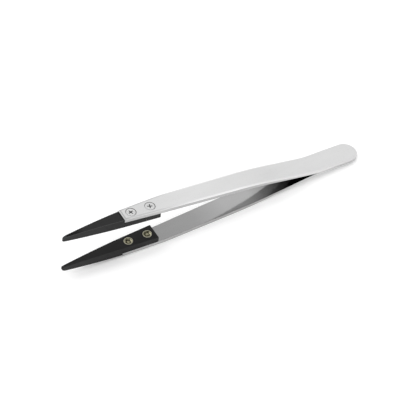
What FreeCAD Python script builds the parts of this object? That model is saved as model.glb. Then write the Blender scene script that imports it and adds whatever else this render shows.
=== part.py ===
import FreeCAD, Part
import math
import os
import Sketcher

# Ceramic-tipped tweezers, in millimetres.
#
# Two spring steel arms are welded flat against each other at the tail. Each arm carries a ceramic
# tip on its inner side, held by two countersunk cross-recess screws in brass inserts.
#
# Both halves are alike, so each piece is drawn once, in the frame of one half:
#   the origin is at the tail end, on the plane where the two arms meet,
#   X runs from the tips to the tail (a station is a distance from the tail, along -X),
#   Y runs across the arms, and Z points away from the other half.
# The lower half is the upper one turned half a turn about X. The tweezers are then laid down on the
# flat grip of the lower arm, with the origin under the middle of the whole.

SIZES = {
    # Steel arm seen from above
    "tail_width": 9.8,
    "grip_width": 7.9,
    "nose_width": 5.6,
    "taper_length": 17.5,
    "taper_blend": 22.0,
    "arm_side_radius": 4300.0,
    # Steel arm seen from the side
    "arm_reach": 105.5,
    "weld_length": 19.0,
    "tail_thickness": 0.8,
    "arm_thickness": 1.6,
    "spread_radius": 30.0,
    "shoulder_station": 42.0,
    "shoulder_radius": 165.0,
    "grip_angle": 5.0,
    "bend_lead": 4.0,
    "seat_bend_radius": 150.0,
    "seat_angle": 2.8,
    "seat_height": 8.55,
    "arm_edge": 0.25,
    # Ceramic tip
    "tip_reach": 24.5,
    "tongue_length": 14.9,
    "tongue_thickness": 2.32,
    "tip_side_step": 0.2,
    "shoulder_gap": 0.1,
    "shoulder_drop": 0.5,
    "crown_run": 6.0,
    "crown_radius": 300.0,
    "nose_radius": 1.5,
    "pad_set_back": 1.5,
    "pad_angle": 1.2,
    "jaw_drop": 1.4,
    "point_radius": 0.5,
    "flank_radius": 2000.0,
    # Screws
    "screw_set_back": 3.8,
    "screw_pitch": 8.1,
    "thread_diameter": 2.0,
    "shank_clearance": 0.1,
    "head_diameter": 3.8,
    "head_sink": 0.05,
    "head_land": 0.1,
    "head_clearance": 0.02,
    "countersink_angle": 90.0,
    "recess_span": 1.9,
    "recess_slot": 0.45,
    "recess_depth": 0.65,
    "recess_turn_front": 20.0,
    "recess_turn_rear": -17.0,
    "screw_length": 3.6,
    "screw_end_chamfer": 0.25,
    # Brass inserts
    "thread_clearance": 0.02,
    "insert_diameter": 3.8,
    "insert_clearance": 0.02,
    "insert_set_back": 0.1,
    "insert_edge": 0.15,
    "insert_bore_sink": 0.3,
    # Room around the blanks and outlines for the cuts
    "cut_margin": 3.0,
}
UP = FreeCAD.Vector(0, 0, 1)
ACROSS = FreeCAD.Vector(0, 1, 0)

doc = FreeCAD.newDocument("ceramic_tweezers")
sheet = doc.addObject("Spreadsheet::Sheet", "Sizes")
for row, (alias, number) in enumerate(SIZES.items(), start=1):
    sheet.set("A%d" % row, alias)
    sheet.set("B%d" % row, str(number))
    sheet.setAlias("B%d" % row, alias)
doc.recompute()


# Formulas put together from the sheet's cells. What stands on the arm's front end moves with it.

GRIP_TILT = "Sizes.grip_angle * 1 deg"
SEAT_TILT = "Sizes.seat_angle * 1 deg"
PAD_TILT = "Sizes.pad_angle * 1 deg"
CONE_SPREAD = "tan(Sizes.countersink_angle / 2 * 1 deg)"
ARM_INSIDE_SPREAD = "(Sizes.spread_radius + Sizes.tail_thickness)"
ARM_INSIDE_SHOULDER = "(Sizes.shoulder_radius - Sizes.arm_thickness)"
ARM_INSIDE_SEAT_BEND = "(Sizes.seat_bend_radius - Sizes.arm_thickness)"
NOSE_HEIGHT = "(Sizes.seat_height + Sizes.arm_thickness / cos(%s))" % SEAT_TILT
TAPER_STATION = "(Sizes.arm_reach - Sizes.taper_length)"
GRIP_END = "(%s - Sizes.bend_lead)" % TAPER_STATION
TIP_REAR = "(Sizes.arm_reach - Sizes.tongue_length)"
PAD_END = "(Sizes.arm_reach - Sizes.pad_set_back)"
SHOULDER = "(Sizes.arm_reach + Sizes.shoulder_gap)"
SHOULDER_HEIGHT = "(%s - Sizes.shoulder_drop)" % NOSE_HEIGHT
CROWN_STATION = "(Sizes.arm_reach + Sizes.crown_run)"
OVERALL_LENGTH = "(Sizes.arm_reach + Sizes.tip_reach)"
JAW_HEIGHT = "(Sizes.seat_height - Sizes.jaw_drop)"
SCREW_SET_BACKS = {
    "front": "Sizes.screw_set_back",
    "rear": "(Sizes.screw_set_back + Sizes.screw_pitch)",
}


def value(formula):
    """What a formula comes to: a length in millimetres, or an angle in radians."""
    found = FreeCAD.Units.Quantity(sheet.evalExpression(formula))
    return math.radians(found.Value) if found.Unit == FreeCAD.Units.Angle else found.Value


def size(alias):
    return value("Sizes." + alias)


def vector(x, y):
    return FreeCAD.Vector(x, y, 0.0)


def seat_at(station):
    """Height of the arm's inner face over the weld plane, along the straight seat."""
    return "(Sizes.seat_height - (Sizes.arm_reach - %s) * tan(%s))" % (station, SEAT_TILT)


def pad_at(station):
    """Height of the ceramic's inner face under the screws."""
    rear = "%s - Sizes.tongue_thickness" % seat_at(TIP_REAR)
    return "(%s + (%s - %s) * tan(%s))" % (rear, station, TIP_REAR, PAD_TILT)


def screw_station(place):
    return "(Sizes.arm_reach - %s)" % SCREW_SET_BACKS[place]


# Sketch helpers


def origin_plane(body, role):
    return next(plane for plane in body.Origin.OriginFeatures if plane.Role == role)


def new_sketch(body, name, role):
    sketch = body.newObject("Sketcher::SketchObject", name)
    sketch.AttachmentSupport = (origin_plane(body, role), [""])
    sketch.MapMode = "FlatFace"
    return sketch


def drive(sketch, name, formula, kind, *where):
    """Add a dimension that the formula sets, and keep it bound to the sheet."""
    index = sketch.addConstraint(Sketcher.Constraint(kind, *where, value(formula)))
    sketch.renameConstraint(index, name)
    sketch.setExpression("Constraints." + name, formula)


def add_line(sketch, start, end):
    return sketch.addGeometry(Part.LineSegment(start, end), False)


def add_arc(sketch, start, end, radius, side):
    """Arc from start to end. Its centre is to the left (side 1) or right (side -1) of that way."""
    chord = end - start
    middle = (start + end) * 0.5
    normal = vector(-chord.y, chord.x).normalize()
    to_centre = math.sqrt(max(0.0, radius**2 - (chord.Length / 2) ** 2))
    centre = middle + normal * side * to_centre
    first, last = (start, end) if side > 0 else (end, start)
    turn = [math.atan2(point.y - centre.y, point.x - centre.x) for point in (first, last)]
    return sketch.addGeometry(Part.ArcOfCircle(Part.Circle(centre, UP, radius), *turn), False)


def joined_ends(sketch, first, second):
    """The end of one edge and the end of the next that lie on each other."""
    pairs = [(a, b) for a in (1, 2) for b in (1, 2)]
    return min(
        pairs,
        key=lambda pair: sketch.getPoint(first, pair[0]).distanceToPoint(sketch.getPoint(second, pair[1])),
    )


def join(sketch, kind, first, second):
    a, b = joined_ends(sketch, first, second)
    sketch.addConstraint(Sketcher.Constraint(kind, first, a, second, b))


def end_near(sketch, edge, point):
    """Which end of an edge lies nearer to a point of the sketch."""
    return min((1, 2), key=lambda end: sketch.getPoint(edge, end).distanceToPoint(point))


def add_frame(sketch, corners):
    """Closed rectangle. Its first corner is followed by the one straight across from it."""
    edges = [add_line(sketch, start, end) for start, end in zip(corners, corners[1:] + corners[:1])]
    for first, second in zip(edges, edges[1:] + edges[:1]):
        join(sketch, "Coincident", first, second)
    for edge, kind in zip(edges, ("Vertical", "Horizontal", "Vertical", "Horizontal")):
        sketch.addConstraint(Sketcher.Constraint(kind, edge))
    return edges


def check_sketch(sketch):
    if sketch.solve() != 0:
        raise RuntimeError("sketch does not solve: " + sketch.Name)


# Steel arm

# Bounds of the search for the angle at which the arm rises, in degrees, and how often it is halved
STEEPEST_RISE = 40.0
HALVINGS = 60


def arm_line(tail_height, nose_height, spread, shoulder, seat_bend, grip_end):
    """Corner points of one face of the arm, from the tail end to the nose.

    The face runs flat, bends away, rises straight, bends back over the shoulder, runs along the
    grip and bends once more to the seat. The rise takes the angle that reaches the nose's height.
    """
    grip = value(GRIP_TILT)
    seat = value(SEAT_TILT)
    seat_start = grip_end + seat_bend * (math.sin(grip) - math.sin(seat))
    seat_start_height = nose_height - (size("arm_reach") - seat_start) * math.tan(seat)
    grip_end_height = seat_start_height - seat_bend * (math.cos(seat) - math.cos(grip))

    def corners(rise):
        rise_start = size("weld_length") + spread * math.sin(rise)
        rise_start_height = tail_height + spread * (1 - math.cos(rise))
        rise_run = size("shoulder_station") - rise_start
        shoulder_height = rise_start_height + rise_run * math.tan(rise)
        grip_start = size("shoulder_station") + shoulder * (math.sin(rise) - math.sin(grip))
        grip_start_height = shoulder_height + shoulder * (math.cos(grip) - math.cos(rise))
        return [
            (0.0, tail_height),
            (size("weld_length"), tail_height),
            (rise_start, rise_start_height),
            (size("shoulder_station"), shoulder_height),
            (grip_start, grip_start_height),
            (grip_end, grip_end_height),
            (seat_start, seat_start_height),
            (size("arm_reach"), nose_height),
        ]

    def step_at_grip(rise):
        start, end = corners(rise)[4:6]
        return start[1] + (end[0] - start[0]) * math.tan(grip) - end[1]

    low, high = grip, math.radians(STEEPEST_RISE)
    for _ in range(HALVINGS):
        rise = (low + high) / 2
        if step_at_grip(rise) > 0:
            high = rise
        else:
            low = rise
    return [vector(-station, height) for station, height in corners(low)]


def outer_line():
    return arm_line(
        size("tail_thickness"),
        value(NOSE_HEIGHT),
        size("spread_radius"),
        size("shoulder_radius"),
        size("seat_bend_radius"),
        value(GRIP_END),
    )


def inner_line():
    return arm_line(
        0.0,
        size("seat_height"),
        value(ARM_INSIDE_SPREAD),
        value(ARM_INSIDE_SHOULDER),
        value(ARM_INSIDE_SEAT_BEND),
        value(GRIP_END) + size("arm_thickness") * math.sin(value(GRIP_TILT)),
    )


def add_arm_face(sketch, line, spread, shoulder, seat_bend):
    """Edges of one face: straight stretches and bends in turn, each tangent to the next."""
    bends = {1: (spread, -1), 3: (shoulder, 1), 5: (seat_bend, 1)}
    edges = []
    for number, (start, end) in enumerate(zip(line, line[1:])):
        if number in bends:
            formula, side = bends[number]
            edges.append(add_arc(sketch, start, end, value(formula), side))
        else:
            edges.append(add_line(sketch, start, end))
    for first, second in zip(edges, edges[1:]):
        join(sketch, "Tangent", first, second)
    return edges


def draw_arm_side(body):
    sketch = new_sketch(body, "ArmSide", "XZ_Plane")
    outer = outer_line()
    inner = inner_line()
    top = add_arm_face(sketch, outer, "Sizes.spread_radius", "Sizes.shoulder_radius", "Sizes.seat_bend_radius")
    bottom = add_arm_face(sketch, inner, ARM_INSIDE_SPREAD, ARM_INSIDE_SHOULDER, ARM_INSIDE_SEAT_BEND)
    nose = add_line(sketch, outer[-1], inner[-1])
    tail = add_line(sketch, outer[0], inner[0])
    for edges in (top, bottom):
        join(sketch, "Coincident", edges[-1], nose)
        join(sketch, "Coincident", edges[0], tail)

    def hold_station(name, formula, edge, corner):
        drive(sketch, name, formula, "DistanceX", edge, end_near(sketch, edge, corner), -1, 1)

    sketch.addConstraint(Sketcher.Constraint("Coincident", bottom[0], 1, -1, 1))
    sketch.addConstraint(Sketcher.Constraint("Horizontal", bottom[0]))
    sketch.addConstraint(Sketcher.Constraint("Horizontal", top[0]))
    sketch.addConstraint(Sketcher.Constraint("Vertical", tail))
    drive(sketch, "tail_thickness", "Sizes.tail_thickness", "DistanceY", -1, 1, top[0], 1)
    for edges, line, word in ((top, outer, "outer"), (bottom, inner, "inner")):
        hold_station(word + "_weld", "Sizes.weld_length", edges[0], line[1])
        hold_station(word + "_shoulder", "Sizes.shoulder_station", edges[2], line[3])
        hold_station(word + "_reach", "Sizes.arm_reach", edges[6], line[7])
    hold_station("grip_end", GRIP_END, top[4], outer[5])
    drive(sketch, "spread_outer", "Sizes.spread_radius", "Radius", top[1])
    drive(sketch, "spread_inner", ARM_INSIDE_SPREAD, "Radius", bottom[1])
    drive(sketch, "shoulder_outer", "Sizes.shoulder_radius", "Radius", top[3])
    drive(sketch, "shoulder_inner", ARM_INSIDE_SHOULDER, "Radius", bottom[3])
    drive(sketch, "seat_bend", "Sizes.seat_bend_radius", "Radius", top[5])
    sketch.addConstraint(Sketcher.Constraint("Coincident", top[5], 3, bottom[5], 3))
    # Angles are measured from the X axis to the line, both seen running away from the origin.
    drive(sketch, "grip_angle", "180 deg - " + GRIP_TILT, "Angle", top[4])
    drive(sketch, "seat_angle", "180 deg - " + SEAT_TILT, "Angle", top[6])
    sketch.addConstraint(Sketcher.Constraint("Parallel", top[4], bottom[4]))
    sketch.addConstraint(Sketcher.Constraint("Parallel", top[6], bottom[6]))
    heights = (
        ("seat_height", "Sizes.seat_height", bottom[6], inner[7]),
        ("nose_height", NOSE_HEIGHT, top[6], outer[7]),
    )
    for name, formula, edge, corner in heights:
        drive(sketch, name, formula, "DistanceY", -1, 1, edge, end_near(sketch, edge, corner))
    check_sketch(sketch)
    return sketch


def close_plan(sketch):
    """Frame around an outline, so that the pocket takes away all but the outline's inside."""
    left = "%s + Sizes.cut_margin" % OVERALL_LENGTH
    half = "Sizes.tail_width / 2 + Sizes.cut_margin"
    near = vector(size("cut_margin"), -value(half))
    far = vector(-value(left), value(half))
    edges = add_frame(sketch, [near, vector(near.x, far.y), far, vector(far.x, near.y)])
    drive(sketch, "frame_right", "Sizes.cut_margin", "DistanceX", -1, 1, edges[0], 1)
    drive(sketch, "frame_left", left, "DistanceX", edges[2], 1, -1, 1)
    drive(sketch, "frame_far", half, "DistanceY", -1, 1, edges[1], 1)
    drive(sketch, "frame_near", half, "DistanceY", edges[0], 1, -1, 1)


def hold_half_width(sketch, name, formula, side, edge, which):
    """Distance of a point from the middle line, on the far side (1) or the near side (-1)."""
    ends = (-1, 1, edge, which) if side > 0 else (edge, which, -1, 1)
    drive(sketch, name, formula, "DistanceY", *ends)


def draw_arm_plan(body):
    """Outline of an arm from above: round tail, long bowed sides, and a blended taper to the nose."""
    sketch = new_sketch(body, "ArmPlan", "XY_Plane")
    tail_radius = size("tail_width") / 2
    centre = vector(-tail_radius, 0)
    sides = {}
    for side in (1, -1):
        corner = vector(-value(TAPER_STATION), side * size("grip_width") / 2)
        nose = vector(-size("arm_reach"), side * size("nose_width") / 2)
        touch = centre + vector(0, side * tail_radius)
        towards_tail = (touch - corner).normalize()
        towards_nose = (nose - corner).normalize()
        blend_turn = math.pi - towards_tail.getAngle(towards_nose)
        blend_reach = size("taper_blend") * math.tan(blend_turn / 2)
        blend_start = corner + towards_tail * blend_reach
        blend_end = corner + towards_nose * blend_reach
        flank = add_arc(sketch, touch, blend_start, size("arm_side_radius"), -side)
        blend = add_arc(sketch, blend_start, blend_end, size("taper_blend"), side)
        taper = add_line(sketch, blend_end, nose)
        meeting = sketch.addGeometry(Part.Point(corner), True)
        sides[side] = (flank, blend, taper, meeting, nose)
    tail = add_arc(sketch, vector(-tail_radius, -tail_radius), vector(-tail_radius, tail_radius), tail_radius, 1)
    nose_line = add_line(sketch, sides[1][-1], sides[-1][-1])
    drive(sketch, "tail_centre", "Sizes.tail_width / 2", "DistanceX", tail, 3, -1, 1)
    sketch.addConstraint(Sketcher.Constraint("PointOnObject", tail, 3, -1))
    drive(sketch, "tail_radius", "Sizes.tail_width / 2", "Radius", tail)
    for side, word in ((1, "far"), (-1, "near")):
        flank, blend, taper, meeting, nose = sides[side]
        join(sketch, "Tangent", tail, flank)
        join(sketch, "Tangent", flank, blend)
        join(sketch, "Tangent", blend, taper)
        join(sketch, "Coincident", taper, nose_line)
        drive(sketch, word + "_side", "Sizes.arm_side_radius", "Radius", flank)
        drive(sketch, word + "_blend", "Sizes.taper_blend", "Radius", blend)
        drive(sketch, word + "_taper", TAPER_STATION, "DistanceX", meeting, 1, -1, 1)
        hold_half_width(sketch, word + "_grip", "Sizes.grip_width / 2", side, meeting, 1)
        nose_end = end_near(sketch, taper, nose)
        hold_half_width(sketch, word + "_nose", "Sizes.nose_width / 2", side, taper, nose_end)
        sketch.addConstraint(Sketcher.Constraint("PointOnObject", meeting, 1, flank))
        sketch.addConstraint(Sketcher.Constraint("PointOnObject", meeting, 1, taper))
    drive(sketch, "reach", "Sizes.arm_reach", "DistanceX", nose_line, 1, -1, 1)
    sketch.addConstraint(Sketcher.Constraint("Vertical", nose_line))
    close_plan(sketch)
    check_sketch(sketch)
    return sketch


# Less than this volume, in cubic millimetres, is no cut.
SMALLEST_CUT = 0.001


def require_cut(before, after, label):
    if not 0 < after < before - SMALLEST_CUT:
        raise RuntimeError("nothing was cut from " + label)


def trim_to_plan(body, plan, name):
    before = body.Shape.Volume
    pocket = body.newObject("PartDesign::Pocket", name)
    pocket.Profile = plan
    pocket.Type = "ThroughAll"
    pocket.SideType = "Symmetric"
    doc.recompute()
    require_cut(before, body.Shape.Volume, name)


# How near to straight across, level or upright an edge or a face has to be to count as such
STRAIGHT_ACROSS = 0.9
LEVEL = 0.7
UPRIGHT = 0.35


def outer_rim(shape):
    """Names of the long edges between the outer face of a piece and its sides."""
    names = []
    for number, edge in enumerate(shape.Edges, start=1):
        midpoint = edge.valueAt((edge.FirstParameter + edge.LastParameter) / 2)
        ends = [vertex.Point for vertex in edge.Vertexes]
        if len(ends) < 2 or abs(ends[0].y - ends[1].y) > STRAIGHT_ACROSS * edge.Length:
            continue
        leans = []
        for face in shape.ancestorsOfType(edge, Part.Face):
            leans.append(face.normalAt(*face.Surface.parameter(midpoint)).z)
        if len(leans) == 2 and max(leans) > LEVEL and abs(min(leans)) < UPRIGHT:
            names.append("Edge%d" % number)
    return names


def lay_on_seat(sketch, depth):
    """Lay a sketch along the seat, a depth outside it, with its origin at the arm's nose."""
    sketch.AttachmentOffset = FreeCAD.Placement(
        FreeCAD.Vector(), FreeCAD.Rotation(ACROSS, size("seat_angle"))
    )
    sketch.setExpression("AttachmentOffset.Base.x", "-Sizes.arm_reach + %s * sin(%s)" % (depth, SEAT_TILT))
    sketch.setExpression("AttachmentOffset.Base.z", "Sizes.seat_height + %s * cos(%s)" % (depth, SEAT_TILT))
    sketch.setExpression("AttachmentOffset.Rotation.Angle", SEAT_TILT)


def draw_screw_circles(body, name, depth, diameter):
    sketch = new_sketch(body, name, "XY_Plane")
    lay_on_seat(sketch, depth)
    for place, set_back in SCREW_SET_BACKS.items():
        run = "%s / cos(%s)" % (set_back, SEAT_TILT)
        circle = Part.Circle(vector(value(run), 0), UP, value(diameter) / 2)
        edge = sketch.addGeometry(circle, False)
        sketch.addConstraint(Sketcher.Constraint("PointOnObject", edge, 3, -1))
        drive(sketch, place + "_run", run, "DistanceX", -1, 1, edge, 3)
        drive(sketch, place + "_diameter", diameter, "Diameter", edge)
    check_sketch(sketch)
    return sketch


def make_arm(label):
    body = doc.addObject("PartDesign::Body", label)
    strip = body.newObject("PartDesign::Pad", "ArmStrip")
    strip.Profile = draw_arm_side(body)
    strip.SideType = "Symmetric"
    strip.setExpression("Length", "Sizes.tail_width + Sizes.cut_margin")
    body.Tip = strip
    doc.recompute()
    trim_to_plan(body, draw_arm_plan(body), "ArmOutline")
    hole_diameter = "Sizes.thread_diameter + 2 * Sizes.shank_clearance"
    circles = draw_screw_circles(body, "ArmHoles", "Sizes.arm_thickness", hole_diameter)
    doc.recompute()
    before = body.Shape.Volume
    holes = body.newObject("PartDesign::Hole", "CountersunkHoles")
    holes.Profile = circles
    doc.recompute()
    holes.DepthType = "ThroughAll"
    holes.setExpression("Diameter", hole_diameter)
    holes.HoleCutType = "Countersink"
    holes.HoleCutCustomValues = True
    head_opening = "Sizes.head_diameter + 2 * Sizes.head_clearance"
    sunk = "(Sizes.head_sink + Sizes.head_land)"
    holes.setExpression("HoleCutDiameter", "%s + 2 * %s * %s" % (head_opening, sunk, CONE_SPREAD))
    holes.setExpression("HoleCutCountersinkAngle", "Sizes.countersink_angle * 1 deg")
    doc.recompute()
    require_cut(before, body.Shape.Volume, label)
    cut_arm = body.Tip
    rounding = body.newObject("PartDesign::Fillet", "OuterRim")
    rounding.Base = (cut_arm, outer_rim(cut_arm.Shape))
    rounding.setExpression("Radius", "Sizes.arm_edge")
    doc.recompute()
    return body


# Ceramic tip


def draw_tip_side(body):
    """Side view of a tip: a tongue under the arm, a shoulder in front of it, and the crowned point."""
    sketch = new_sketch(body, "TipSide", "XZ_Plane")
    places = {
        "rear_top": (TIP_REAR, seat_at(TIP_REAR)),
        "seat_front": (SHOULDER, seat_at(SHOULDER)),
        "shoulder": (SHOULDER, SHOULDER_HEIGHT),
        "jaw": (OVERALL_LENGTH, JAW_HEIGHT),
        "pad_front": (PAD_END, pad_at(PAD_END)),
        "rear_bottom": (TIP_REAR, pad_at(TIP_REAR)),
    }
    corners = {}
    for name, (station, height) in places.items():
        corners[name] = vector(-value(station), value(height))
    crown_radius = size("crown_radius")
    nose_radius = size("nose_radius")
    crown_drop = math.sqrt(crown_radius**2 - (value(CROWN_STATION) - value(SHOULDER)) ** 2)
    crown_centre = vector(-value(CROWN_STATION), value(SHOULDER_HEIGHT) - crown_drop)
    nose_run = value(OVERALL_LENGTH) - nose_radius - value(CROWN_STATION)
    nose_rise = math.sqrt((crown_radius - nose_radius) ** 2 - nose_run**2)
    nose_centre = crown_centre + vector(-nose_run, nose_rise)
    nose_start = nose_centre + (nose_centre - crown_centre).normalize() * nose_radius
    nose_end = nose_centre - vector(nose_radius, 0)
    jaw_run = value(OVERALL_LENGTH) - value(PAD_END)
    jaw_rise = corners["jaw"].y - corners["pad_front"].y - jaw_run * math.tan(value(PAD_TILT))

    tongue = add_line(sketch, corners["rear_top"], corners["seat_front"])
    step = add_line(sketch, corners["seat_front"], corners["shoulder"])
    crown = add_arc(sketch, corners["shoulder"], nose_start, crown_radius, 1)
    nose = add_arc(sketch, nose_start, nose_end, nose_radius, 1)
    end = add_line(sketch, nose_end, corners["jaw"])
    jaw = add_arc(sketch, corners["jaw"], corners["pad_front"], jaw_run**2 / 2 / jaw_rise, 1)
    flat = add_line(sketch, corners["pad_front"], corners["rear_bottom"])
    rear = add_line(sketch, corners["rear_bottom"], corners["rear_top"])
    ring = (
        (tongue, step, "Coincident"),
        (step, crown, "Coincident"),
        (crown, nose, "Tangent"),
        (nose, end, "Tangent"),
        (end, jaw, "Coincident"),
        (jaw, flat, "Tangent"),
        (flat, rear, "Coincident"),
        (rear, tongue, "Coincident"),
    )
    for first, second, kind in ring:
        join(sketch, kind, first, second)
    for edge in (step, end, rear):
        sketch.addConstraint(Sketcher.Constraint("Vertical", edge))
    for edge, corner in ((rear, "rear_top"), (step, "seat_front"), (end, "jaw"), (flat, "pad_front")):
        which = end_near(sketch, edge, corners[corner])
        drive(sketch, corner + "_station", places[corner][0], "DistanceX", edge, which, -1, 1)
    for edge, corner in (
        (tongue, "rear_top"),
        (tongue, "seat_front"),
        (step, "shoulder"),
        (end, "jaw"),
        (flat, "rear_bottom"),
    ):
        which = end_near(sketch, edge, corners[corner])
        drive(sketch, corner + "_height", places[corner][1], "DistanceY", -1, 1, edge, which)
    drive(sketch, "pad_angle", "-" + PAD_TILT, "Angle", flat)
    drive(sketch, "crown_top", CROWN_STATION, "DistanceX", crown, 3, -1, 1)
    drive(sketch, "crown", "Sizes.crown_radius", "Radius", crown)
    drive(sketch, "nose", "Sizes.nose_radius", "Radius", nose)
    check_sketch(sketch)
    return sketch


def draw_tip_plan(body):
    """Outline of a tip from above: it follows the arm's taper and runs on to a small round point."""
    sketch = new_sketch(body, "TipPlan", "XY_Plane")
    slope = "(Sizes.grip_width - Sizes.nose_width) / 2 / Sizes.taper_length"
    front_half = "Sizes.nose_width / 2 - Sizes.tip_side_step"
    rear_half = "%s + Sizes.tongue_length * %s" % (front_half, slope)
    radius = size("point_radius")
    centre = vector(-value(OVERALL_LENGTH) + radius, 0)
    rear_x = -value(TIP_REAR)
    rear = add_line(sketch, vector(rear_x, value(rear_half)), vector(rear_x, -value(rear_half)))
    point = add_arc(sketch, centre + vector(0, radius), centre - vector(0, radius), radius, 1)
    sketch.addConstraint(Sketcher.Constraint("PointOnObject", point, 3, -1))
    drive(sketch, "point_centre", OVERALL_LENGTH + " - Sizes.point_radius", "DistanceX", point, 3, -1, 1)
    drive(sketch, "point_radius", "Sizes.point_radius", "Radius", point)
    for side, word in ((1, "far"), (-1, "near")):
        rear_corner = vector(rear_x, side * value(rear_half))
        front_corner = vector(-value(SHOULDER), side * value(front_half))
        edge = add_line(sketch, rear_corner, front_corner)
        tangent = centre + vector(0, side * radius)
        flank = add_arc(sketch, front_corner, tangent, size("flank_radius"), -side)
        join(sketch, "Coincident", rear, edge)
        join(sketch, "Coincident", edge, flank)
        join(sketch, "Tangent", flank, point)
        drive(sketch, word + "_flank", "Sizes.flank_radius", "Radius", flank)
        front_end = end_near(sketch, edge, front_corner)
        rear_end = end_near(sketch, edge, rear_corner)
        drive(sketch, word + "_front", SHOULDER, "DistanceX", edge, front_end, -1, 1)
        hold_half_width(sketch, word + "_rear_half", rear_half, side, edge, rear_end)
        hold_half_width(sketch, word + "_front_half", front_half, side, edge, front_end)
    drive(sketch, "rear", TIP_REAR, "DistanceX", rear, 1, -1, 1)
    sketch.addConstraint(Sketcher.Constraint("Vertical", rear))
    close_plan(sketch)
    check_sketch(sketch)
    return sketch


def make_tip(label):
    body = doc.addObject("PartDesign::Body", label)
    bar = body.newObject("PartDesign::Pad", "TipBar")
    bar.Profile = draw_tip_side(body)
    bar.SideType = "Symmetric"
    bar.setExpression("Length", "Sizes.grip_width + Sizes.cut_margin")
    body.Tip = bar
    doc.recompute()
    trim_to_plan(body, draw_tip_plan(body), "TipOutline")
    hole_diameter = "Sizes.insert_diameter + 2 * Sizes.insert_clearance"
    circles = draw_screw_circles(body, "TipHoles", "0", hole_diameter)
    before = body.Shape.Volume
    holes = body.newObject("PartDesign::Pocket", "InsertHoles")
    holes.Profile = circles
    holes.Type = "ThroughAll"
    doc.recompute()
    require_cut(before, body.Shape.Volume, label)
    return body


# Screws and inserts. Each is turned about its own axis, with Z out through the arm.


def turned_body(label, corners):
    """Body of revolution about Z. A corner is its radius and its depth below the origin."""
    body = doc.addObject("PartDesign::Body", label)
    sketch = new_sketch(body, "Section", "XZ_Plane")
    points = [vector(value(radius), -value(depth)) for radius, depth in corners]
    edges = [add_line(sketch, start, end) for start, end in zip(points, points[1:] + points[:1])]
    for first, second in zip(edges, edges[1:] + edges[:1]):
        join(sketch, "Coincident", first, second)
    for number, (edge, (radius, depth)) in enumerate(zip(edges, corners)):
        if radius == "0":
            sketch.addConstraint(Sketcher.Constraint("PointOnObject", edge, 1, -2))
        else:
            drive(sketch, "radius_%d" % number, radius, "DistanceX", -1, 1, edge, 1)
        if depth == "0":
            sketch.addConstraint(Sketcher.Constraint("PointOnObject", edge, 1, -1))
        else:
            drive(sketch, "depth_%d" % number, depth, "DistanceY", edge, 1, -1, 1)
    check_sketch(sketch)
    turned = body.newObject("PartDesign::Revolution", "Turned")
    turned.Profile = sketch
    turned.ReferenceAxis = (sketch, ["V_Axis"])
    turned.Angle = 360.0
    doc.recompute()
    return body


def make_screw(label):
    """Countersunk screw. Its head's top is at the origin."""
    head = "Sizes.head_diameter / 2"
    thread = "Sizes.thread_diameter / 2"
    cone = "Sizes.head_land + (Sizes.head_diameter - Sizes.thread_diameter) / 2 / " + CONE_SPREAD
    body = turned_body(
        label,
        [
            ("0", "0"),
            (head, "0"),
            (head, "Sizes.head_land"),
            (thread, cone),
            (thread, "Sizes.screw_length - Sizes.screw_end_chamfer"),
            (thread + " - Sizes.screw_end_chamfer", "Sizes.screw_length"),
            ("0", "Sizes.screw_length"),
        ],
    )
    cut_cross_recess(body)
    return body


def cut_cross_recess(body):
    """One slot across the head, and the same slot again a quarter turn on."""
    sketch = new_sketch(body, "RecessSlot", "XY_Plane")
    half_span = size("recess_span") / 2
    half_slot = size("recess_slot") / 2
    corners = [
        vector(-half_span, -half_slot),
        vector(-half_span, half_slot),
        vector(half_span, half_slot),
        vector(half_span, -half_slot),
    ]
    edges = add_frame(sketch, corners)
    sketch.addConstraint(Sketcher.Constraint("Symmetric", edges[0], 1, edges[1], 2, -1, 1))
    drive(sketch, "slot", "Sizes.recess_slot", "DistanceY", edges[0], 1, edges[0], 2)
    drive(sketch, "span", "Sizes.recess_span", "DistanceX", edges[1], 1, edges[1], 2)
    check_sketch(sketch)
    before = body.Shape.Volume
    slot = body.newObject("PartDesign::Pocket", "Slot")
    slot.Profile = sketch
    slot.setExpression("Length", "Sizes.recess_depth")
    doc.recompute()
    require_cut(before, body.Shape.Volume, body.Name)
    cross = body.newObject("PartDesign::PolarPattern", "Cross")
    cross.Originals = [slot]
    cross.Axis = (sketch, ["N_Axis"])
    cross.Angle = 90.0
    cross.Occurrences = 2
    body.Tip = cross
    doc.recompute()


def make_insert(label, place):
    """Threaded brass bush. It meets the arm at its origin, and its countersunk end faces the gap."""
    station = screw_station(place)
    outer = "Sizes.insert_diameter / 2"
    bore = "(Sizes.thread_diameter / 2 + Sizes.thread_clearance)"
    end = "%s - %s - Sizes.insert_set_back" % (seat_at(station), pad_at(station))
    return turned_body(
        label,
        [
            (bore, "0"),
            (outer, "0"),
            (outer, end + " - Sizes.insert_edge"),
            (outer + " - Sizes.insert_edge", end),
            (bore + " + Sizes.insert_bore_sink", end),
            (bore, end + " - Sizes.insert_bore_sink"),
        ],
    )


# Assembly: where each piece stands in its half, and how the two halves lie


def on_screw_axis(place, height):
    """Placement on the axis of a screw, a height outside the seat."""
    station = screw_station(place)
    seat = value(SEAT_TILT)
    base = FreeCAD.Vector(
        height * math.sin(seat) - value(station), 0.0, height * math.cos(seat) + value(seat_at(station))
    )
    return FreeCAD.Placement(base, FreeCAD.Rotation(ACROSS, size("seat_angle")))


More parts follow.
